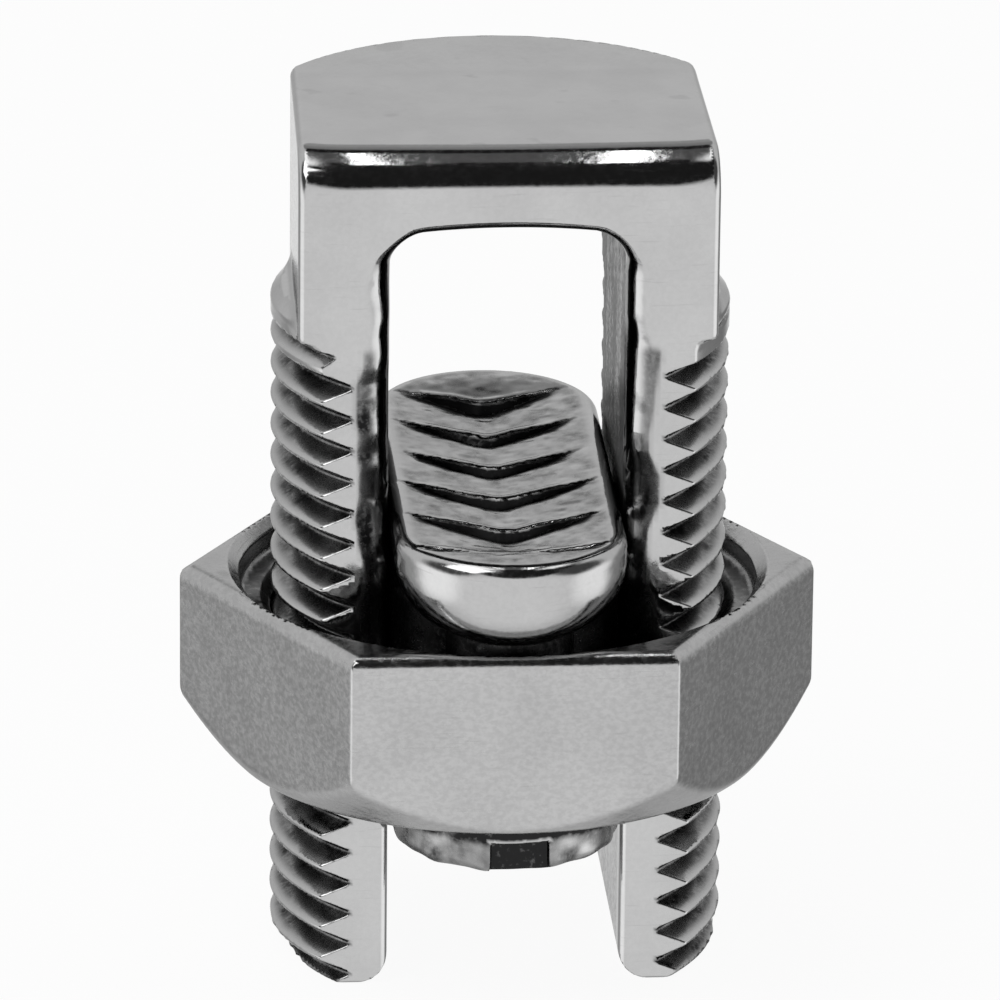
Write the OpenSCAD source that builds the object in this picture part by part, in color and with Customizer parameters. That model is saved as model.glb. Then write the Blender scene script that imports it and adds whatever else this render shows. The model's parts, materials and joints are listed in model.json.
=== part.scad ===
// Split bolt connector: a threaded bolt with a slot for the conductors, a hex nut
// that runs on its two legs, and a pressure bar that the nut pushes up the slot.
// Millimetres. +Z points up to the head, the conductors lie along Y, and the origin
// is on the bolt's axis, level with the tips of its legs. The flat front faces -Y.

/* [Thread] */
// Diameter over the thread crests of the legs
thread_d = 22.2; // [21.6:0.1:23]
// Distance between neighbouring crests
thread_pitch = 1.5875; // [1.4:0.0125:1.8]
// Distance from the shoulder down to the first groove on the left leg
thread_start = 0.63; // [0.5:0.01:0.75]
// Width of the flat at the bottom of a groove
thread_root_flat = 0.16; // [0.08:0.02:0.3]
// Running gap between the bolt's thread and the nut's
thread_gap = 0.15; // [0.1:0.01:0.25]

/* [Split bolt] */
// Height from the leg tips to the top of the head
bolt_h = 42.6; // [40:0.1:50]
// Height of the head above the shoulder where the thread starts
head_h = 9.9; // [7:0.1:11]
// Diameter of the rounded back and of the head's corners
head_d = 24.2; // [23.6:0.1:25]
// Width of the head over its two side flats
head_w = 20.15; // [18:0.05:21.5]
// Distance from the axis to the flat front
front_flat = 6.7; // [5.5:0.1:8]
// Width of the slot for the conductors
slot_w = 11.3; // [9:0.1:12.5]
// Thickness of the crown that bridges the slot
crown_t = 4.1; // [2.8:0.1:4.5]
// Radius of the rounded front edge on top of the head
brow_r = 2.3; // [0.8:0.1:2.6]
// Radius of the head's other edges
head_edge_r = 0.6; // [0.3:0.1:0.9]
// Radius of the slot's upright edges at the front
slot_edge_r = 1.4; // [0.5:0.1:1.6]
// Radius of the slot's edges under the crown and at the back
slot_fine_r = 0.5; // [0.2:0.1:0.8]
// Radius of the slot's upper corners
arch_r = 1.6; // [1.2:0.1:2.4]
// Radius of the inner edge of each leg tip
tip_r = 1.5; // [0.5:0.1:2]
// Chamfer round the outside of the leg tips
tip_chamfer = 0.6; // [0.3:0.1:1]

/* [Hex nut] */
// Width of the nut across its flats
nut_af = 27; // [26.8:0.1:30]
// Height of the nut
nut_h = 9.8; // [8:0.1:12]
// Height and depth of the sloping edge round the nut's top face
nut_edge_r = 0.75; // [0.4:0.05:1]
// Diameter of the nut's bottom face, inside its cone
nut_base_d = 24.7; // [24.4:0.1:26]
// Depth of the recess in the nut's top face
recess_depth = 1.6; // [1:0.1:2.4]
// Gap round the head where it enters the recess
recess_gap = 0.5; // [0.3:0.05:0.7]

/* [Pressure bar] */
// Length of the bar over its two noses
bar_l = 29.8; // [28:0.1:34]
// Gap between the bar and each wall of the slot
bar_gap = 0.1; // [0.05:0.01:0.25]
// Height of the saddle above the nut's top face
saddle_h = 5; // [4.8:0.1:7]
// Radius of the bar's rounded underside
hull_r = 3.4; // [2.5:0.1:4]
// Radius of the edge round the saddle
saddle_edge_r = 0.6; // [0.3:0.05:0.8]
// Depth of the shallow trough along the saddle
trough_depth = 0.7; // [0.4:0.05:1]
// Distance between neighbouring serrations
serration_pitch = 4.6; // [3.6:0.1:6]
// Distance of the middle serration behind the bar's centre
serration_shift = 1.2; // [0:0.1:2]
// Depth of a serration
serration_depth = 0.6; // [0.3:0.05:0.8]
// Length of a serration across the saddle
serration_w = 7.6; // [6:0.1:8.2]
// Angle at which each arm of a serration sweeps back
serration_angle = 6; // [0:1:15]
// Width of the keel that bears on the floor of the nut's recess
keel_w = 6; // [4:0.1:8]
// Thickness of the staked lip that holds the bar under the nut
lip_t = 1.9; // [1.4:0.1:3]
// How far the lip reaches out under the nut, past its bore
lip_reach = 0.95; // [0.6:0.05:1.05]
// Width of the notch in the lip's ends
notch_w = 2.8; // [2:0.1:4]
// Depth of that notch
notch_depth = 1.2; // [0.6:0.1:2]

/* [Setting] */
// Height of the nut's top face above the leg tips
nut_top = 19.4; // [14:0.1:30]

/* [Hidden] */
$fn = 96;
// Cutters run on past a face by this much
cut = 1;
silver = [0.78, 0.78, 0.79];
// A 60 degree thread, cut a little deeper than its standard form. The right leg's grooves
// lie half a pitch below the left leg's.
flank = 30;
thread_depth = 0.69 * thread_pitch;
thread_r = thread_d / 2;
root_r = thread_r - thread_depth;
lead_angle = atan(thread_pitch / (2 * PI * thread_r));
// The groove cutters reach this far past the crests, so that neighbours never meet
thread_clear = 0.05;
// The first grooves under the shoulder fade in
fade = [0.4, 0.75];
head_r = head_d / 2;
shoulder_z = bolt_h - head_h;
crown_z = bolt_h - crown_t;
slot_x = slot_w / 2;
// The round shank ends in a bevelled fin beside the head's flats
fin_h = 1;
fin_bevel = 0.5;
fin_z = shoulder_z + fin_h;
// The nut's bore clears the thread crests, and its recess clears the head
bore_r = thread_r + thread_gap;
recess_r = head_r + recess_gap;
// The edge round the nut's top leaves at least a thin flat rim round the recess
rim = 0.12;
nut_top_edge = min(nut_edge_r, nut_af / 2 - recess_r - rim);
nut_bottom = nut_top - nut_h;
seat_z = nut_top - recess_depth;
// Gap between faces that bear on each other
seat_gap = 0.05;
// The bar's width and levels
bar_w = slot_w - 2 * bar_gap;
bar_r = bar_w / 2;
bar_top = nut_top + saddle_h;
hull_gap = 0.2;
hull_z = nut_top + hull_gap;
// The keel stays inside the recess, the stem inside the bore, and the lip catches the nut
keel_reach = recess_r - hull_gap;
stem_reach = root_r;
lip_top = nut_bottom - seat_gap;
// The trough runs out before each nose, and holds as many serrations as fit
trough_end = bar_l / 2 - saddle_edge_r - 1;
trough_floor = trough_end - 4;
serration_side = floor((trough_end - serration_shift) / serration_pitch);
// Length of the ramp in front of each serration's steep face
ramp = 2.4;

// The waste outside the rounded corner of a shape that fills the quarter -X, -Y
module corner_waste(r) {
    difference() {
        translate([-r, -r])
            square(r + cut);
        translate([-r, -r])
            circle(r);
    }
}

// A bar of the drawing, laid so that it is drawn in XZ and runs along Y
module along_y(length) {
    rotate([90, 0, 0])
        linear_extrude(height = length, center = true)
            children();
}

// A slot-shaped plate of half-width r that reaches so far from the axis each way along Y
module stadium(r, reach) {
    square([2 * r, 2 * (reach - r)], center = true);
    for (end = [-1, 1])
        translate([0, end * (reach - r)])
            circle(r);
}

// One copy for each leg
module both_legs() {
    for (side = [0, 1])
        mirror([side, 0, 0])
            children();
}

// A ring with the groove's section, leaned to follow the thread's lead where it meets a leg
module groove_ring(depth, lean) {
    inner = thread_r - depth;
    outer = thread_r + thread_clear;
    half = thread_root_flat / 2;
    flare = half + (outer - inner) * tan(flank);
    rotate([lean, 0, 0])
        rotate_extrude()
            polygon([[inner, -half], [outer, -flare], [outer, flare], [inner, half]]);
}

// All the grooves of one leg, from so far under the shoulder down to the tip's chamfer
module grooves(start, lean) {
    last = floor((shoulder_z - start - tip_chamfer - thread_depth) / thread_pitch);
    for (i = [0 : last])
        translate([0, 0, shoulder_z - start - i * thread_pitch])
            groove_ring(thread_depth * (i < len(fade) ? fade[i] : 1), lean);
}

// The round shank, with its bevelled fin and the chamfer at the leg tips
module shank() {
    rotate_extrude()
        polygon([
            [0, 0],
            [thread_r - tip_chamfer, 0],
            [thread_r, tip_chamfer],
            [thread_r, fin_z - fin_bevel],
            [thread_r - fin_bevel, fin_z],
            [0, fin_z],
        ]);
}

// The head's block: a round back, two side flats and a flat front, with rounded upper edges
module head_block() {
    intersection() {
        rotate_extrude()
            difference() {
                translate([0, shoulder_z])
                    square([head_r, head_h]);
                translate([head_r, bolt_h])
                    corner_waste(head_edge_r);
            }
        along_y(2 * head_d)
            difference() {
                translate([-head_w / 2, 0])
                    square([head_w, bolt_h]);
                for (side = [0, 1])
                    mirror([side, 0])
                        translate([head_w / 2, bolt_h])
                            corner_waste(head_edge_r);
            }
    }
}

// Everything in front of the flat front, with the rounded brow on top and the head's corners
module front_waste() {
    translate([-head_d, -head_d - front_flat, -cut])
        cube([2 * head_d, head_d, bolt_h + 2 * cut]);
    translate([0, -front_flat, bolt_h])
        rotate([90, 0, -90])
            linear_extrude(height = 2 * head_d, center = true)
                corner_waste(brow_r);
    both_legs()
        translate([head_w / 2, -front_flat, shoulder_z])
            rotate([0, 0, -90])
                linear_extrude(height = head_h + cut)
                    corner_waste(head_edge_r);
}

// The slot that splits the bolt, with its arched top and its rounded edges
module slot() {
    arch_x = slot_x - arch_r;
    arch_z = crown_z - arch_r;
    along_y(2 * head_d) {
        translate([-slot_x, -cut])
            square([slot_w, arch_z + cut]);
        translate([-arch_x, 0])
            square([2 * arch_x, crown_z]);
        for (side = [-1, 1])
            translate([side * arch_x, arch_z])
                circle(arch_r);
    }
    both_legs() {
        translate([slot_x, -front_flat, -cut])
            rotate([0, 0, 180])
                linear_extrude(height = arch_z + cut)
                    corner_waste(slot_edge_r);
        translate([arch_x, 0, arch_z])
            rotate([90, 0, 0])
                rotate_extrude()
                    translate([arch_r, front_flat])
                        rotate(90)
                            corner_waste(slot_edge_r);
        translate([slot_x, 0, 0])
            rotate([0, 180, 0])
                along_y(2 * head_d)
                    corner_waste(tip_r);
    }
    translate([0, -front_flat, crown_z])
        rotate([-90, 0, -90])
            linear_extrude(height = 2 * arch_x, center = true)
                corner_waste(slot_fine_r);
}

// What is cut from the head and from both legs alike
module bolt_waste() {
    front_waste();
    slot();
}

// One leg of the bolt, on the +X side
module leg(start, lean) {
    difference() {
        shank();
        translate([-2 * head_d, -head_d, -cut])
            cube([2 * head_d, 2 * head_d, bolt_h]);
        grooves(start, lean);
        bolt_waste();
    }
}

module split_bolt() {
    color(silver) {
        difference() {
            head_block();
            bolt_waste();
        }
        leg(thread_start + thread_pitch / 2, lead_angle);
        mirror([1, 0, 0])
            leg(thread_start, -lead_angle);
    }
}

// The nut's outside: six flats under a rim that leans in twice, and a cone that
// takes the lower corners off
module nut_blank() {
    corner_r = nut_af / sqrt(3);
    intersection() {
        union() {
            cylinder(r = corner_r, h = nut_h - nut_top_edge, $fn = 6);
            translate([0, 0, nut_h - nut_top_edge])
                cylinder(r1 = corner_r, r2 = corner_r - nut_top_edge / 3, h = nut_top_edge * 2 / 3,
                    $fn = 6);
            translate([0, 0, nut_h - nut_top_edge / 3])
                cylinder(r1 = corner_r - nut_top_edge / 3, r2 = corner_r - nut_top_edge,
                    h = nut_top_edge / 3, $fn = 6);
        }
        rotate_extrude()
            polygon([[0, 0], [nut_base_d / 2, 0], [nut_base_d / 2 + nut_h, nut_h], [0, nut_h]]);
    }
}

module hex_nut() {
    mouth = 0.6;
    color(silver)
        translate([0, 0, nut_bottom])
            difference() {
                nut_blank();
                translate([0, 0, -cut])
                    cylinder(r = bore_r, h = nut_h + 2 * cut);
                translate([0, 0, nut_h - recess_depth])
                    cylinder(r = recess_r, h = recess_depth + cut);
                translate([0, 0, -cut])
                    cylinder(r1 = bore_r + mouth + cut, r2 = bore_r, h = mouth + cut);
            }
}

// Half of the bar's cross section: a flat saddle over a rounded hull
module hull_section() {
    difference() {
        translate([0, hull_z])
            square([bar_r, bar_top - hull_z]);
        translate([bar_r, bar_top])
            corner_waste(saddle_edge_r);
        translate([bar_r, hull_z])
            mirror([0, 1])
                corner_waste(hull_r);
    }
}

// The saddle's body, with a bowl-shaped nose at each end
module hull_body() {
    along_y(bar_l - bar_w)
        for (side = [0, 1])
            mirror([side, 0])
                hull_section();
    for (end = [-1, 1])
        translate([0, end * (bar_l / 2 - bar_r), 0])
            rotate_extrude()
                hull_section();
}

// The stem that passes through the nut, the keel on its recess floor and the staked lip
module stem() {
    lip_r = bore_r + lip_reach;
    translate([0, 0, lip_top - cut / 2])
        linear_extrude(height = hull_z + hull_r - lip_top + cut / 2)
            stadium(bar_r, stem_reach);
    translate([0, 0, seat_z + seat_gap])
        linear_extrude(height = hull_z + hull_gap - seat_z - seat_gap)
            stadium(keel_w / 2, keel_reach);
    difference() {
        translate([0, 0, lip_top - lip_t])
            linear_extrude(height = lip_t)
                stadium(bar_r, lip_r);
        for (end = [-1, 1])
            translate([0, end * lip_r, lip_top - lip_t / 2])
                cube([notch_w, 2 * notch_depth, lip_t + 2 * cut], center = true);
    }
}

// The shallow trough along the saddle, which rises again before each nose
module trough() {
    floor_z = bar_top - trough_depth;
    intersection() {
        along_y(bar_l)
            polygon([[-bar_r, bar_top], [0, floor_z], [bar_r, bar_top], [0, bar_top + cut]]);
        rotate([90, 0, 90])
            linear_extrude(height = bar_w, center = true)
                polygon([
                    [-trough_end, bar_top],
                    [-trough_floor, floor_z],
                    [trough_floor, floor_z],
                    [trough_end, bar_top],
                    [0, bar_top + 2 * cut],
                ]);
    }
}

// Serrations across the trough, each with one steep face and a ramp, swept back like a chevron
module serrations() {
    slope = atan(trough_depth / bar_r);
    for (side = [0, 1])
        mirror([side, 0, 0])
            intersection() {
                translate([0, -trough_end, bar_top - trough_depth - serration_depth])
                    cube([serration_w / 2, 2 * trough_end, 2 * (trough_depth + serration_depth)]);
                for (i = [-serration_side : serration_side])
                    translate([0, serration_shift + i * serration_pitch, bar_top - trough_depth])
                        rotate([0, -slope, serration_angle])
                            rotate([90, 0, 90])
                                linear_extrude(height = bar_w, center = true)
                                    polygon([[0, -serration_depth], [-ramp, 0], [-ramp, cut], [0, cut]]);
            }
}

module pressure_bar() {
    color(silver)
        difference() {
            union() {
                hull_body();
                stem();
            }
            trough();
            serrations();
        }
}

split_bolt();
hex_nut();
pressure_bar();
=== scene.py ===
"""Split bolt connector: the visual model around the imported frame.

Each of the three pieces is a closed surface of one signed distance function, in
millimetres, on a rectilinear grid. Its edges are rounded where the functions meet, and
both threads are one true helix. The functions repeat the sizes of the part's source,
and the boxes of the CAD nodes give the head's height and the nut's and bar's places.
"""
import json
import math

import bpy
import numpy as np
from mathutils import Matrix, Vector


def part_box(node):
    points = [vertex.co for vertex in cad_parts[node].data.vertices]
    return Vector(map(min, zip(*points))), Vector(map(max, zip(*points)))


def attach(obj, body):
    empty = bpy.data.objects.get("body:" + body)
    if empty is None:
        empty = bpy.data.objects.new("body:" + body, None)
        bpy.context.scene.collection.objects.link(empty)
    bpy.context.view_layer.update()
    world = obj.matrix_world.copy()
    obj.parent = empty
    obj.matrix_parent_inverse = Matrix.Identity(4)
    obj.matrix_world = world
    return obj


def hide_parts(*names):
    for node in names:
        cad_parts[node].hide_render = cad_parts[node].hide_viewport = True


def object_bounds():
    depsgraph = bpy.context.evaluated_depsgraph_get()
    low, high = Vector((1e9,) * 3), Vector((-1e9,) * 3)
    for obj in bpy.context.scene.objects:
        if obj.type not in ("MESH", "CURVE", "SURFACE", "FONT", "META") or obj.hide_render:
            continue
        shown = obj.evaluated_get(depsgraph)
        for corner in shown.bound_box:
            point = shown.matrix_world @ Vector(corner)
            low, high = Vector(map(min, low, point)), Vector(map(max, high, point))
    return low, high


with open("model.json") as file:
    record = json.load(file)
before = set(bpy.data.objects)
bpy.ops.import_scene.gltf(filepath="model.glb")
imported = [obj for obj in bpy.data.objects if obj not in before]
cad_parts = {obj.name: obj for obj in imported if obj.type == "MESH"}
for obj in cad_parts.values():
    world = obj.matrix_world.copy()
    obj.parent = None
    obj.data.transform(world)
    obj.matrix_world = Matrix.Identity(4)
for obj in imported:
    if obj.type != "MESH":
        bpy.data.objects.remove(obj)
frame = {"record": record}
cad_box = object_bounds()

MM = 0.001

# ---------------------------------------------------------------- sizes, in millimetres


def box_mm(node):
    low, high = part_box(node)
    return np.array(low) / MM, np.array(high) / MM


bolt_high = box_mm("split_bolt")[1]
nut_low, nut_high = box_mm("hex_nut")
bar_low, bar_high = box_mm("pressure_bar")

# Thread
THREAD_R = 11.1
PITCH = 1.5875
ROOT_FLAT = 0.16
THREAD_DEPTH = 0.69 * PITCH
FLANK_ANGLE = math.radians(30)
FLANK = math.tan(FLANK_ANGLE)
THREAD_EDGE_R = 0.07
THREAD_GAP = 0.15
FIRST_GROOVE = 0.63  # from the shoulder down to the first groove on the left leg
FADE_BELOW = 1.7  # the grooves reach their full depth this far below the shoulder
FADE_LENGTH = 2.2
SLOPE_45 = 0.7071  # turns a height across a 45 degree chamfer into a distance from it

# Split bolt
BOLT_TOP = bolt_high[2]
HEAD_H = 9.9
SHOULDER = BOLT_TOP - HEAD_H
HEAD_R = 12.1
HEAD_X = 10.075
SIDE_TAPER = 0.014
SIDE_EDGE_R = 0.3
CORNER_EDGE_R = 0.4
FRONT = 6.7
FRONT_FULL = 0.26  # the forged front stands this much proud in its middle
FULL_HALF = 7
FRONT_FALL = 0.055  # and falls back with the square of the distance past FALL_START
FALL_START = 7.5
TOP_SLOPE = 0.036
TOP_SLOPE_START = 7
SHOULDER_FILLET = 0.5
SLOT_X = 5.65
SLOT_EDGE_R = 0.35
SLOT_FRONT_R = 0.6
SLOT_WORN_R = 1.2  # more radius on the slot's front edges between the crown and the nut
CROWN_T = 4.1
CROWN_Z = BOLT_TOP - CROWN_T
ARCH_R = 1.6
ARCH_SAG = 0.012
BROW_R = 2.3
TIP_R = 1.5
TIP_EDGE_R = 0.15
TIP_CHAMFER = 0.6
FIN_H = 1  # the thread's blank runs up behind the head to here
FIN_Z = SHOULDER + FIN_H
FIN_CHAMFER = 0.5
ROD_EDGE_R = 0.1

# Hex nut. Its underside shows a little above the solid's, where the photo has it.
UNDERSIDE_LIFT = 0.5
NUT_FLAT = nut_high[1]
NUT_TOP = nut_high[2]
NUT_BOTTOM = nut_low[2] + UNDERSIDE_LIFT
NUT_BASE_R = 13.0
NUT_SLOPE = 1.05
NUT_CORNER_R = 0.13
NUT_TOP_R = 0.72
NUT_CONE_R = 0.3
NUT_BASE_EDGE_R = 0.25
RECESS_R = 12.6
RECESS_DEPTH = 1.6
RECESS_Z = NUT_TOP - RECESS_DEPTH
RECESS_FLOOR_R = 0.3
RECESS_EDGE_R = 0.1
MOUTH = 0.9  # how far the bore's chamfers reach past the thread's crests
TOP_MOUTH = 0.5
BORE_R = 10.25
BORE_EDGE_R = 0.05

# Pressure bar
BAR_R = bar_high[0]
BAR_REACH = bar_high[1]
BAR_TOP = bar_high[2]
BAR_BOTTOM = bar_low[2]
RIM_R = 0.8
HULL_GAP = 0.2
HULL_Z = NUT_TOP + HULL_GAP
HULL_R = 3.4
BAR_FINE_R = 0.12
TROUGH = 0.7
TROUGH_HALF = 4.9
SERRATION_PITCH = 4.6
SERRATION_SHIFT = 1.2
SERRATION_DEPTH = 0.68
SERRATION_BACK = 2.6  # the long side of a tooth
SERRATION_FACE = 0.26  # and its short side
SERRATION_APEX = -0.35
SADDLE_END = 9.4  # centre of the saddle's rounded ends
KEEL_HALF = 3
KEEL_GAP = 0.2
KEEL_SUNK = 0.2
STAKED_LIP = 1.1  # how far the staked foot reaches past the thread's crests
STAKED_ROUGH = 0.16
FOOT_ROUGH = 0.22
FOOT_R = 0.55
POCKET_X = 0.4
POCKET_HALF = 1.4
POCKET_REACH = 0.35
POCKET_ROOF = 0.8

# ---------------------------------------------------------------- distance functions


def both(a, b, r):
    """The part inside a and inside b, with the edge between them rounded to radius r."""
    ua, ub = np.maximum(a + r, 0), np.maximum(b + r, 0)
    return np.minimum(np.maximum(a, b), -r) + np.hypot(ua, ub)


def either(a, b, r):
    """a and b joined, with a fillet of radius r between them."""
    ua, ub = np.maximum(r - a, 0), np.maximum(r - b, 0)
    return np.maximum(np.minimum(a, b), r) - np.hypot(ua, ub)


def smooth_step(t):
    t = np.clip(t, 0, 1)
    return t * t * (3 - 2 * t)


LATTICE_SIZE = 32
LATTICE = np.random.default_rng(7).uniform(-1, 1, (LATTICE_SIZE, LATTICE_SIZE, LATTICE_SIZE))


def noise(x, y, z, size, shift=0.0):
    """Smooth noise from -1 to 1 with bumps about size millimetres wide."""
    x, y, z = np.broadcast_arrays(x / size + shift, y / size + 2 * shift, z / size + 3 * shift)
    cell = [np.floor(v).astype(int) for v in (x, y, z)]
    part = [smooth_step(v - c) for v, c in zip((x, y, z), cell)]
    total = 0
    for corner in np.ndindex(2, 2, 2):
        weight = 1
        for bit, w in zip(corner, part):
            weight = weight * (w if bit else 1 - w)
        total = total + weight * LATTICE[tuple((c + bit) % LATTICE_SIZE for c, bit in zip(cell, corner))]
    return total


def thread(x, y, z, fade=True):
    """The threaded rod: a right-handed 60 degree thread whose first turns fade in."""
    r = np.hypot(x, y)
    phase = (z - (SHOULDER - FIRST_GROOVE)) / PITCH - (np.arctan2(y, x) - math.pi) / (2 * math.pi)
    away = np.abs((phase + 0.5) % 1 - 0.5) * PITCH
    depth = THREAD_DEPTH
    if fade:
        depth = THREAD_DEPTH * (1 - smooth_step((z - (SHOULDER - FADE_BELOW)) / FADE_LENGTH))
    root = THREAD_R - depth
    groove = (away - ROOT_FLAT / 2 - (r - root) * FLANK) * math.cos(FLANK_ANGLE)
    ridge = both(r - THREAD_R, -groove, THREAD_EDGE_R)
    return either(r - root, ridge, THREAD_EDGE_R)


def slot_space(x, z):
    """The slot that splits the bolt, with its flattened arch."""
    arch = CROWN_Z - ARCH_SAG * x * x
    return both(np.abs(x) - SLOT_X, z - arch, ARCH_R)


def front_fall(x):
    """How far the flat front falls back towards its sides."""
    return FRONT_FALL * np.maximum(np.abs(x) - FALL_START, 0) ** 2


def slot_front_radius(x, z):
    """Radius of the slot's front edges: small at the crown and the tips, wavy between."""
    wave = noise(np.sign(x) * 3, 0, z, 2.3) + 0.5 * noise(np.sign(x) * 5, 0, z, 1.1, 4.7)
    wave = np.clip(wave, -0.7, 0.5)
    worn = smooth_step((CROWN_Z - 0.2 - z) / 2.8) * smooth_step((z - NUT_BOTTOM + 1) / 2)
    return SLOT_FRONT_R + worn * (SLOT_WORN_R + 0.5 * wave)


def bolt_shape(x, y, z):
    r = np.hypot(x, y)
    side = np.abs(x) - (HEAD_X - SIDE_TAPER * (y + FRONT))
    full = FRONT_FULL * np.exp(-((x / FULL_HALF) ** 2)) * smooth_step((z - CROWN_Z + 1) / 4)
    front = -FRONT - y - full + front_fall(x)
    slope = TOP_SLOPE * (TOP_SLOPE_START - y) * smooth_step((TOP_SLOPE_START + 0.5 - y) / 2.5)
    top = z - BOLT_TOP + slope
    head = both(r - HEAD_R, side, SIDE_EDGE_R)
    head = both(head, both(front, top, BROW_R), CORNER_EDGE_R)
    head = both(head, SHOULDER - z, SIDE_EDGE_R)
    fin = np.maximum(z - FIN_Z, (r - THREAD_R + z - FIN_Z + FIN_CHAMFER) * SLOPE_45)
    chamfer = (r - z - THREAD_R + TIP_CHAMFER) * SLOPE_45
    rod = both(both(thread(x, y, z), fin, ROD_EDGE_R), chamfer, ROD_EDGE_R)
    rod = both(both(rod, front, ROD_EDGE_R), -z, TIP_EDGE_R)
    solid = either(head, rod, SHOULDER_FILLET)
    slot = slot_space(x, z)
    solid = both(solid, -slot, SLOT_EDGE_R)
    solid = np.maximum(solid, both(front, -slot, slot_front_radius(x, z)))
    return np.maximum(solid, both(-z, -slot, TIP_R))


def nut_shape(x, y, z):
    r = np.hypot(x, y)
    solid = np.abs(y) - NUT_FLAT
    for turn in (60, 120):
        c, s = math.cos(math.radians(turn)), math.sin(math.radians(turn))
        solid = both(solid, np.abs(y * c - x * s) - NUT_FLAT, NUT_CORNER_R)
    solid = both(solid, z - NUT_TOP, NUT_TOP_R)
    cone = ((r - NUT_BASE_R) * NUT_SLOPE - (z - NUT_BOTTOM)) / math.hypot(NUT_SLOPE, 1)
    solid = both(solid, cone, NUT_CONE_R)
    solid = both(solid, NUT_BOTTOM - z, NUT_BASE_EDGE_R)
    recess = both(r - RECESS_R, RECESS_Z - z, RECESS_FLOOR_R)
    solid = both(solid, -recess, RECESS_EDGE_R)
    mouth = (THREAD_R + MOUTH - r - (z - NUT_BOTTOM)) * SLOPE_45
    top_mouth = (THREAD_R + TOP_MOUTH - r - (RECESS_Z - z)) * SLOPE_45
    bore = np.maximum(THREAD_GAP - thread(x, y, z, fade=False), BORE_R - r)
    bore = both(both(bore, mouth, BORE_EDGE_R), top_mouth, BORE_EDGE_R)
    return both(solid, bore, BORE_EDGE_R)


def stadium(x, y, half, reach):
    return np.hypot(x, np.maximum(np.abs(y) - (reach - half), 0)) - half


def from_saddle_middle(x, y):
    """Distance from the line between the centres of the saddle's rounded ends."""
    return np.hypot(x, np.maximum(np.abs(y) - SADDLE_END, 0))


def saddle_top(x, y):
    """Height of the saddle: a shallow trough that runs out at the noses, with swept
    serrations. Also how deep in a serration each point is, and how high on its lip."""
    run = smooth_step((BAR_REACH - 1.4 - np.abs(y)) / 4)
    across = np.clip(1 - (np.sqrt(x * x + 0.1) - 0.3) / TROUGH_HALF, 0, 1)
    height = -TROUGH * run * across
    sweep = np.sqrt((x - SERRATION_APEX) ** 2 + 0.04)
    back = y - SERRATION_SHIFT - sweep * (0.24 + 0.01 * sweep) - 0.10 * noise(x, y, 0, 1.6)
    step = (back / SERRATION_PITCH + 100.5) % 1 - 0.5
    tooth = step * SERRATION_PITCH
    ramp = np.clip(1 + tooth / SERRATION_BACK, 0, 1) ** 3
    ramp = ramp * np.clip((SERRATION_FACE - tooth) / SERRATION_FACE, 0, 1)
    arm_end = TROUGH_HALF + 0.4 * noise(0, y, 0, 3.0)
    arm = np.clip((arm_end - np.sqrt((x + 0.2) ** 2 + 0.2)) / 4.6, 0, 1)
    end = smooth_step((12.4 - np.abs(y)) / 1.5)
    lip = 0.1 * np.exp(-((tooth - 0.45) / 0.25) ** 2)
    cut = ramp * arm * end
    height = height + lip * arm * end - SERRATION_DEPTH * cut
    inner = smooth_step((5.0 - from_saddle_middle(x, y)) / 0.8)
    pits = 0.035 * noise(x, y, 0, 0.7, 2.2) + 0.02 * noise(x, y, 0, 0.4, 8.2)
    return BAR_TOP + height - 0.02 + inner * (pits - 0.03), cut, lip * arm * end


def bar_shape(x, y, z):
    plan = stadium(x, y, BAR_R, BAR_REACH)
    hull = both(plan, HULL_Z - z, HULL_R)
    hull = both(hull, z - BAR_TOP, RIM_R)
    hull = both(hull, (z - saddle_top(x, y)[0]) * 0.8, BAR_FINE_R)
    stem = stadium(x, y, BAR_R, THREAD_R - THREAD_DEPTH)
    stem = both(stem, z - HULL_Z - 2, 0.1)
    stem = np.maximum(stem, NUT_BOTTOM - 0.5 - z)
    keel = both(stadium(x, y, KEEL_HALF, RECESS_R - KEEL_GAP), RECESS_Z + 0.05 - z, 0.15)
    keel = np.maximum(keel, z - HULL_Z - KEEL_SUNK)
    rough = 0.5 + 0.5 * noise(x, y, z, 1.1, 9.1)
    staked = stadium(x, y, BAR_R, THREAD_R + STAKED_LIP) + STAKED_ROUGH * rough
    foot = BAR_BOTTOM - z + FOOT_ROUGH * rough
    staked = both(both(staked, foot, FOOT_R), z - NUT_BOTTOM + 0.05, BAR_FINE_R)
    pocket = np.maximum(np.abs(x - POCKET_X) - POCKET_HALF, THREAD_R + POCKET_REACH - np.abs(y))
    pocket = np.maximum(pocket, z - NUT_BOTTOM + POCKET_ROOF)
    staked = both(staked, -pocket, BAR_FINE_R)
    solid = either(hull, stem, 0.3)
    solid = either(solid, keel, 0.15)
    return either(solid, staked, BAR_FINE_R)


# ---------------------------------------------------------------- surfaces


def levels(*runs):
    """Grid lines: each run is (from, to, step), and each starts where the last one ends."""
    lines = []
    for start, stop, step in runs:
        count = max(1, round((stop - start) / step))
        lines += list(start + (stop - start) * np.arange(count) / count)
    return np.array(lines + [runs[-1][1]])


def mirrored(lines):
    return np.concatenate([-lines[:0:-1], lines])


def gradient(shape, p, step=0.004):
    result = []
    for axis in range(3):
        move = np.zeros(3)
        move[axis] = step
        result.append((shape(*(p + move).T) - shape(*(p - move).T)) / (2 * step))
    return np.array(result).T


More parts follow.
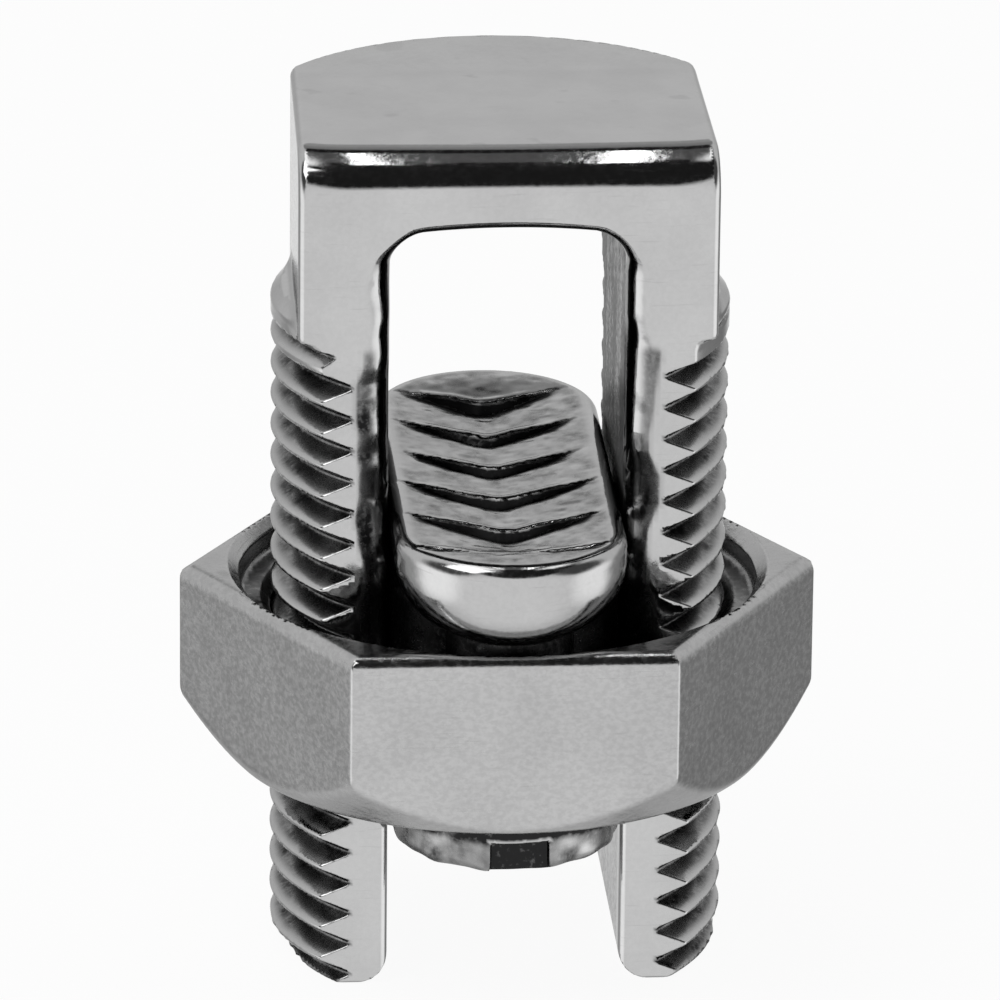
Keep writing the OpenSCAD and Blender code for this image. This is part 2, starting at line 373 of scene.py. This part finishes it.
def crossings(value, grid, cells):
    """For each cell, the mean of the points where the surface crosses its edges."""
    total, hits = np.zeros((len(cells), 3)), np.zeros(len(cells))
    for axis in range(3):
        for i, j in np.ndindex(2, 2):
            low = cells.copy()
            low[:, (axis + 1) % 3] += i
            low[:, (axis + 2) % 3] += j
            high = low.copy()
            high[:, axis] += 1
            v0, v1 = value[tuple(low.T)], value[tuple(high.T)]
            cross = (v0 < 0) != (v1 < 0)
            t = np.where(cross, v0 / np.where(cross, v0 - v1, 1), 0)[:, None]
            p0 = np.array([g[low[:, n]] for n, g in enumerate(grid)]).T
            p1 = np.array([g[high[:, n]] for n, g in enumerate(grid)]).T
            total += np.where(cross[:, None], p0 + t * (p1 - p0), 0)
            hits += cross
    return total / hits[:, None]


def outward_quads(inside, number):
    """A quad for each grid edge that the surface crosses, facing out of the solid."""
    quads = []
    for axis in range(3):
        u, v = (axis + 1) % 3, (axis + 2) % 3
        first = [slice(None)] * 3
        second = [slice(None)] * 3
        first[axis], second[axis] = slice(None, -1), slice(1, None)
        a, b = inside[tuple(first)], inside[tuple(second)]
        edges = np.argwhere(a != b)
        keep = (edges[:, u] > 0) & (edges[:, v] > 0)
        keep &= (edges[:, u] < number.shape[u]) & (edges[:, v] < number.shape[v])
        edges = edges[keep]
        ring = []
        for du, dv in ((-1, -1), (0, -1), (0, 0), (-1, 0)):
            cell = edges.copy()
            cell[:, u] += du
            cell[:, v] += dv
            ring.append(number[tuple(cell.T)])
        ring = np.array(ring).T
        outward = a[tuple(edges.T)]
        quads.append(np.where(outward[:, None], ring, ring[:, ::-1]))
    return np.concatenate(quads)


def surface(shape, xs, ys, zs):
    """Points and quads of the shape's surface on the grid, by naive surface nets. The
    points are then moved along the gradient onto the surface itself."""
    value = shape(xs[:, None, None], ys[None, :, None], zs[None, None, :])
    value = np.broadcast_to(value, (len(xs), len(ys), len(zs)))
    inside = value < 0
    count = np.zeros([n - 1 for n in inside.shape], int)
    a, b, c = count.shape
    for i, j, k in np.ndindex(2, 2, 2):
        count += inside[i : i + a, j : j + b, k : k + c]
    cells = np.argwhere((count > 0) & (count < 8))
    points = crossings(value, (xs, ys, zs), cells)
    number = np.full(count.shape, -1)
    number[tuple(cells.T)] = np.arange(len(cells))
    longest_move = 0.1
    for _ in range(4):
        slope = gradient(shape, points)
        square = np.maximum((slope**2).sum(1), 0.05)
        move = -(shape(*points.T) / square)[:, None] * slope
        length = np.linalg.norm(move, axis=1, keepdims=True)
        points = points + move * np.minimum(1, longest_move / np.maximum(length, 1e-9))
    return points, outward_quads(inside, number)


def piece(name, shape, xs, ys, zs, painted_shade_and_dirt, node, material):
    """The object of a shape, with a value of painted shade and dirt at each point, in place of its CAD
    node.
    """
    points, quads = surface(shape, xs, ys, zs)
    mesh = bpy.data.meshes.new(name)
    mesh.from_pydata(points * MM, [], quads.tolist())
    mesh.polygons.foreach_set("use_smooth", np.ones(len(quads), bool))
    normals = gradient(shape, points)
    normals /= np.maximum(np.linalg.norm(normals, axis=1, keepdims=True), 1e-9)
    mesh.normals_split_custom_set_from_vertices(normals)
    layer = mesh.attributes.new("painted_shade_and_dirt", "FLOAT", "POINT")
    layer.data.foreach_set("value", np.clip(painted_shade_and_dirt(*points.T), 0, 1.5).astype(np.float32))
    mesh.materials.append(material)
    obj = bpy.data.objects.new(name, mesh)
    bpy.context.scene.collection.objects.link(obj)
    bodies = frame["record"]["behaviour"]["bodies"]
    body = next(b for b, members in bodies.items() if node in members)
    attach(obj, body)
    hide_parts(node)
    print(name, len(quads) * 2, "triangles")


# ---------------------------------------------------------------- materials


class Nodes:
    """A short way to write a node tree."""

    def __init__(self, tree):
        self.tree = tree
        tree.nodes.clear()

    def add(self, kind, inputs=None, **settings):
        node = self.tree.nodes.new(kind)
        for key, value in settings.items():
            setattr(node, key, value)
        for key, value in (inputs or {}).items():
            self.put(value, node.inputs[key])
        return node

    def put(self, value, socket):
        if isinstance(value, bpy.types.Node):
            value = value.outputs[0]
        if isinstance(value, bpy.types.NodeSocket):
            self.tree.links.new(value, socket)
        else:
            socket.default_value = value

    def math(self, operation, a, b=0.0):
        return self.add("ShaderNodeMath", {0: a, 1: b}, operation=operation)

    def span(self, value, low, high, to_low=0.0, to_high=1.0):
        inputs = {0: value, 1: low, 2: high, 3: to_low, 4: to_high}
        return self.add("ShaderNodeMapRange", inputs, interpolation_type="SMOOTHSTEP")

    def noise(self, where, scale, detail=3.0, rough=0.55):
        inputs = {"Vector": where, "Scale": scale, "Detail": detail, "Roughness": rough}
        return self.add("ShaderNodeTexNoise", inputs)


def plating(name, shade, dark, gloss, satin, grain, relief, stretch=(1.0, 1.0, 1.0)):
    """Bright plating over forged metal. Grain is the depth of its grey flecks, gloss and satin are its
    least and most roughness, and a value at each point mixes in a dark colour: painted shade in
    recesses, creases and under the nut, with some dirt and wear."""
    material = bpy.data.materials.new(name)
    material.use_nodes = True
    n = Nodes(material.node_tree)
    where = n.add("ShaderNodeTexCoord").outputs["Object"]
    stretched = n.add("ShaderNodeMapping", {"Vector": where, "Scale": stretch})
    flecks = n.noise(stretched, 3600, 3, 0.6)
    blotches = n.noise(where, 260, 3)
    fine = n.noise(where, 5200, 2)
    turned = {"Vector": where, "Rotation": (0.5, 0.4, 0.3), "Scale": (1, 1, 26)}
    scratches = n.span(n.noise(n.add("ShaderNodeMapping", turned), 420, 2), 0.63, 0.72)

    # painted shade with some dirt, read from each point's value
    painted_shade_and_dirt = n.add("ShaderNodeAttribute", attribute_name="painted_shade_and_dirt").outputs["Fac"]
    shade_and_dirt_mix = n.math("MULTIPLY", painted_shade_and_dirt, n.span(blotches, 0.25, 0.6, 0.65, 1.0))
    shade_and_dirt_mix = n.math("MULTIPLY", shade_and_dirt_mix, n.span(flecks, 0.2, 0.62, 0.7, 1.0))
    shade_and_dirt_mix = n.math("MINIMUM", shade_and_dirt_mix, 1.0)

    speckle = n.span(flecks, 0.34, 0.66, -grain, grain)
    tone = n.math("ADD", speckle, n.span(blotches, 0.3, 0.7, -0.016, 0.016))
    tone = n.math("SUBTRACT", tone, n.math("MULTIPLY", scratches, 0.026))
    bright = n.add("ShaderNodeCombineColor", {i: n.math("ADD", tone, shade) for i in range(3)})
    # the colour of the painted shade and the dirt
    shade_and_dirt_colour = (dark, dark, dark * 1.02, 1)
    colour = n.add("ShaderNodeMix", {0: shade_and_dirt_mix, 6: bright, 7: shade_and_dirt_colour}, data_type="RGBA")

    rough = n.math("ADD", n.span(flecks, 0.3, 0.7, gloss, satin), n.math("MULTIPLY", shade_and_dirt_mix, 0.22))
    rough = n.math("ADD", rough, n.math("MULTIPLY", scratches, 0.06))
    height = n.math("ADD", n.math("MULTIPLY", flecks, 0.8), n.math("MULTIPLY", fine, 0.2))
    height = n.math("ADD", height, n.math("MULTIPLY", blotches, 2.5))
    bump = n.add("ShaderNodeBump", {"Height": height, "Strength": relief, "Distance": 0.03 * MM})
    shader = n.add(
        "ShaderNodeBsdfPrincipled",
        {"Base Color": colour.outputs[2], "Metallic": 1.0, "Roughness": rough, "Normal": bump,
         "Specular Tint": (0.6, 0.6, 0.6, 1)},
    )
    n.put(shader, n.add("ShaderNodeOutputMaterial").inputs["Surface"])
    return material


bolt_metal = plating("bolt_plating", 0.43, 0.016, 0.06, 0.14, 0.009, 0.10)
nut_metal = plating("nut_plating", 0.395, 0.014, 0.14, 0.26, 0.028, 0.40, (0.8, 0.8, 1.1))
bar_metal = plating("bar_plating", 0.42, 0.020, 0.08, 0.20, 0.011, 0.16)

# ---------------------------------------------------------------- painted shade and dirt: 0 clean and unshaded, 1 black


def bolt_shade_and_specks(x, y, z):
    """Painted shade in the thread roots, on the slot walls and along the edge of the slot's arch, and
    dark specks on the slot's front edges, which are also darker lower down.
    """
    r = np.hypot(x, y)
    past = np.abs(x) - SLOT_X
    depth = y + FRONT - front_fall(x)
    # painted shade in the thread roots
    roots = smooth_step((THREAD_R - 0.06 - r) / 0.5) * smooth_step((past - 0.5) / 0.6)
    roots = roots * smooth_step((depth - 0.015) / 0.05) * smooth_step((SHOULDER - z) / 0.6)
    roots = roots * (0.9 + 0.25 * noise(x, y, z, 0.8, 2.7))
    # painted shade on the slot walls, lighter low on the legs
    wall = smooth_step((0.3 - np.abs(past)) / 0.3) * smooth_step((CROWN_Z - 0.4 - z) / 1.5)
    wall = wall * (0.35 + 0.65 * smooth_step((z - 11) / 3)) * smooth_step((depth - 1.0) / 1.0)
    wall = wall * (1.25 + 0.4 * noise(x, y * 3.2, z * 0.3, 2.2, 6.3))
    # painted shade along the edge of the slot's arch
    crown = smooth_step((0.5 - slot_space(x, z)) / 0.25) * smooth_step((depth - 0.1) / 0.12)
    crown = crown * smooth_step((z - CROWN_Z + 1.3) / 1.0)
    specks = smooth_step((noise(x, y, z, 0.5, 3.1) - 0.25) / 0.3) * (z < CROWN_Z) * (z > 12)
    edge = smooth_step((1.5 - past) / 0.6) * smooth_step((past + 0.1) / 0.1)
    edge = edge * smooth_step((0.95 - depth) / 0.4) * smooth_step((depth - 0.1) / 0.2)
    low = smooth_step((28.5 - z + 1.2 * noise(x, 0, z, 1.5, 7.7)) / 1.2)
    low = low * smooth_step((z - 12) / 4)
    return roots + wall + 1.3 * crown + edge * (0.4 * specks + 0.24 * low)


def nut_painted_shade(x, y, z):
    """Painted shade, in patches, in the recess and the bore."""
    r = np.hypot(x, y)
    hollow = smooth_step((RECESS_R + 0.05 - r) / 0.3) * smooth_step((NUT_TOP - 0.15 - z) / 0.5)
    patches = 0.75 + 0.35 * noise(x, y, z, 1.6, 3.3)
    return hollow * patches * smooth_step((z - NUT_BOTTOM) / 0.6)


def bar_wear_shade_and_highlights(x, y, z):
    """A worn saddle with painted shade in its serrations and a painted highlight on their lips, painted
    shade on the stem, and a patchy foot with a painted shadow under the nut, painted shade in its
    pockets and a painted highlight on the pockets' roof edge.
    """
    cut, lip = saddle_top(x, y)[1:]
    inner = smooth_step((4.95 - from_saddle_middle(x, y)) / 0.5)
    top = inner * smooth_step((z - BAR_TOP + 1.7) / 0.3)
    # random wear, with the serrations' lips kept clean: a painted highlight along each lip
    worn = 0.31 + 0.26 * noise(x, y, 0, 0.8, 4.4) + 0.22 * noise(x, y, 0, 0.35, 1.4) - 7 * lip
    # painted shade in the serrations
    saddle = top * (worn + 1.5 * smooth_step((cut - 0.06) / 0.2))
    # painted shade on the stem inside the nut's recess
    stem = smooth_step((HULL_Z + 1.1 - z) / 0.8) * (1.05 + 0.25 * noise(x, y, z, 1.2, 5.9))
    patches = 0.52 + 0.42 * noise(x, y, z, 0.9, 3.9) + 0.3 * noise(x, y, z, 0.4, 6.9)
    # a painted shadow of the nut across the foot just below it
    patches = patches + 0.8 * smooth_step((z - NUT_BOTTOM + 1.0) / 0.5)
    # painted shade in the pockets
    aside = np.abs(x - POCKET_X) - POCKET_HALF
    pocket = smooth_step((0.2 - aside) / 0.2) * smooth_step((THREAD_R + 0.8 - np.abs(y)) / 0.2)
    pocket = pocket * smooth_step((NUT_BOTTOM - 0.75 - z) / 0.1)
    # a painted highlight along the pockets' roof edge
    ledge_highlight = np.exp(-((z - NUT_BOTTOM + 0.68) / 0.09) ** 2) * (aside < 0.1)
    foot = np.maximum(patches, 1.3 * pocket) - 2 * ledge_highlight
    under_nut = smooth_step((NUT_BOTTOM - z) / 0.1)
    return np.maximum(saddle, stem * (1 - under_nut) + foot * under_nut)


# ---------------------------------------------------------------- the three pieces

bolt_x = mirrored(levels(
    (0, 5.2, 0.45),
    (5.2, 6.9, 0.21),
    (6.9, 8.0, 0.3),
    (8.0, 9.6, 0.16),
    (9.6, 12.3, 0.26),
))
bolt_y = levels((-7.3, -6.1, 0.11), (-6.1, -4.3, 0.16), (-4.3, 8.0, 0.5), (8.0, 12.4, 0.44))
bolt_z = levels(
    (-0.3, 1.5, 0.18),
    (1.5, SHOULDER - 0.2, PITCH / 10),
    (SHOULDER - 0.2, FIN_Z + 0.3, 0.16),
    (FIN_Z + 0.3, CROWN_Z - 2, 0.34),
    (CROWN_Z - 2, CROWN_Z + 1, 0.18),
    (CROWN_Z + 1, BOLT_TOP + 0.3, 0.1),
)
piece("connector_bolt", bolt_shape, bolt_x, bolt_y, bolt_z, bolt_shade_and_specks,
      "split_bolt", bolt_metal)

nut_x = mirrored(levels((0, 15.9, 0.27)))
nut_y = mirrored(levels((0, 10.5, 0.27), (10.5, 13.8, 0.16)))
nut_z = levels(
    (NUT_BOTTOM - 0.3, NUT_BOTTOM + 0.6, 0.15),
    (NUT_BOTTOM + 0.6, RECESS_Z - 0.3, PITCH / 9),
    (RECESS_Z - 0.3, RECESS_Z + 0.4, 0.14),
    (RECESS_Z + 0.4, NUT_TOP - 0.9, 0.17),
    (NUT_TOP - 0.9, NUT_TOP + 0.2, 0.11),
)
piece("connector_nut", nut_shape, nut_x, nut_y, nut_z, nut_painted_shade,
      "hex_nut", nut_metal)

bar_x = mirrored(levels((0, 5.85, 0.195)))
bar_y = mirrored(levels((0, 12.6, 0.13), (12.6, 15.2, 0.19)))
bar_z = levels(
    (BAR_BOTTOM - 0.3, NUT_BOTTOM + 0.3, 0.18),
    (NUT_BOTTOM + 0.3, RECESS_Z - 0.2, 0.6),
    (RECESS_Z - 0.2, HULL_Z + 0.6, 0.18),
    (HULL_Z + 0.6, BAR_TOP - 1.9, 0.26),
    (BAR_TOP - 1.9, BAR_TOP + 0.2, 0.12),
)
piece("connector_bar", bar_shape, bar_x, bar_y, bar_z, bar_wear_shade_and_highlights,
      "pressure_bar", bar_metal)

# ---------------------------------------------------------------- studio

# A card is where it hangs, the angles inside which it is full and past which it is gone,
# and what it adds to the studio's level. Those below zero are dark flags.
STUDIO_LEVEL = 0.95
DARKEST = 0.02
CARDS = (
    ((0.05, -0.62, 0.78), 25, 36, -1.15),  # over the front
    ((0.05, 0.72, 0.70), 14, 22, -0.57),  # over the back
    ((0.05, 0.02, 1.0), 28, 40, -0.82),  # straight above
    ((-1.0, -0.10, -0.25), 6, 34, 0.75),  # table at the left
    ((1.0, -0.05, -0.25), 4, 34, 0.75),  # table at the right
    ((0.74, 0.62, -0.30), 14, 30, -0.52),  # table behind, right
    ((-0.80, 0.56, -0.30), 10, 26, -0.36),  # table behind, left
    ((0.0, -0.90, -0.45), 40, 70, 0.26),  # table in front
    ((-0.85, -0.25, 0.50), 18, 34, -0.85),  # high at the left
    ((0.85, -0.25, 0.50), 18, 34, -0.85),  # high at the right
    ((0.06, 0.93, 0.36), 10, 26, 0.20),  # behind, a little above the horizon
)
# The light straight above is one more card, which a gap splits along X
LIGHT_CARD = ((0.0, 0.12, 0.99), 20, 32, 2.0)
GAP_MIDDLE = 0.065
GAP_INNER, GAP_OUTER = 0.16, 0.28


def card(n, direction, toward, inner, outer, value):
    unit = Vector(toward).normalized()
    dot = n.add("ShaderNodeVectorMath", {0: direction, 1: unit}, operation="DOT_PRODUCT")
    edges = math.cos(math.radians(outer)), math.cos(math.radians(inner))
    return n.span(dot.outputs["Value"], *edges, 0.0, value)


def studio_world():
    """White behind the object for the camera, and the level light with its cards for
    everything else."""
    world = bpy.data.worlds.new("studio")
    bpy.context.scene.world = world
    world.use_nodes = True
    n = Nodes(world.node_tree)
    direction = n.add("ShaderNodeTexCoord").outputs["Generated"]
    sideways = n.add("ShaderNodeSeparateXYZ", {0: direction}).outputs["X"]
    aside = n.math("ABSOLUTE", n.math("SUBTRACT", sideways, GAP_MIDDLE))
    gap = n.span(aside, GAP_INNER, GAP_OUTER)
    light = n.math("MULTIPLY", gap, card(n, direction, *LIGHT_CARD))
    for settings in CARDS:
        light = n.math("ADD", light, card(n, direction, *settings))
    light = n.math("MAXIMUM", n.math("ADD", light, STUDIO_LEVEL), DARKEST)
    studio = n.add("ShaderNodeBackground", {"Color": light})
    white = n.add("ShaderNodeBackground", {"Color": (1, 1, 1, 1), "Strength": 1.0})
    camera_ray = n.add("ShaderNodeLightPath").outputs["Is Camera Ray"]
    seen = n.add("ShaderNodeMixShader", {0: camera_ray, 1: studio, 2: white})
    n.put(seen, n.add("ShaderNodeOutputWorld").inputs["Surface"])


def paper():
    """White paper that keeps a faint shadow. Reflections pass through it to the table's
    tones in the world."""
    material = bpy.data.materials.new("paper")
    material.use_nodes = True
    n = Nodes(material.node_tree)
    path = n.add("ShaderNodeLightPath")
    matt = n.add("ShaderNodeBsdfDiffuse", {"Color": (0.85, 0.85, 0.85, 1)})
    glow = n.add("ShaderNodeEmission", {"Color": (1, 1, 1, 1), "Strength": 1.0})
    shown = n.add("ShaderNodeMixShader", {0: 0.94, 1: matt, 2: glow})
    clear = n.add("ShaderNodeBsdfTransparent")
    mirror = n.add("ShaderNodeMixShader", {0: path.outputs["Is Glossy Ray"], 1: matt, 2: clear})
    whole = n.add("ShaderNodeMixShader", {0: path.outputs["Is Camera Ray"], 1: mirror, 2: shown})
    n.put(whole, n.add("ShaderNodeOutputMaterial").inputs["Surface"])
    return material


def floor():
    half = 1.5
    corners = [(-half, -half, 0), (half, -half, 0), (half, half, 0), (-half, half, 0)]
    mesh = bpy.data.meshes.new("floor")
    mesh.from_pydata(corners, [], [(0, 1, 2, 3)])
    mesh.materials.append(paper())
    obj = bpy.data.objects.new("floor", mesh)
    bpy.context.scene.collection.objects.link(obj)
    obj.location.z = -0.03 * MM


def lamp(name, place, aim, size, power):
    data = bpy.data.lights.new(name, "AREA")
    data.shape = "RECTANGLE"
    data.size, data.size_y = size
    data.energy = power
    obj = bpy.data.objects.new(name, data)
    bpy.context.scene.collection.objects.link(obj)
    obj.location = place
    obj.rotation_euler = (Vector(aim) - Vector(place)).to_track_quat("-Z", "Y").to_euler()


studio_world()
floor()
centre = (cad_box[0] + cad_box[1]) / 2
lamp("key", (-0.30, -0.16, 0.46), centre, (0.30, 0.30), 0.9)

# Two narrow strips close overhead put the highlights on the brow
STRIP_LENGTH = 0.030
STRIP_HEIGHT = 0.045
STRIP_Y = 0.0012
STRIP_POWER = 34
for name, across, width in (("strip_left", -0.0058, 0.0008), ("strip_right", 0.0104, 0.0014)):
    above = Vector((across, STRIP_Y, BOLT_TOP * MM + STRIP_HEIGHT))
    size = (width, STRIP_LENGTH)
    lamp(name, above, above - Vector((0, 0, 1)), size, STRIP_POWER * width * STRIP_LENGTH)

# ---------------------------------------------------------------- camera

EYE = (-0.030047, -0.432952, 0.176932)
SIGHT = Vector((0.065431, 0.939880, -0.335179)).normalized()
ROLL = math.radians(0.604)

camera_data = bpy.data.cameras.new("camera")
camera_data.lens = 340.5
camera_data.sensor_width = 36
camera_data.clip_start = 0.01
camera = bpy.data.objects.new("camera", camera_data)
bpy.context.scene.collection.objects.link(camera)
level = SIGHT.cross(Vector((0, 0, 1))).normalized()
right = level * math.cos(ROLL) + level.cross(SIGHT) * math.sin(ROLL)
up = right.cross(SIGHT)
place = Matrix((right, up, -SIGHT)).transposed().to_4x4()
place.translation = EYE
camera.matrix_world = place
bpy.context.scene.camera = camera
bpy.context.scene.view_settings.view_transform = "Standard"
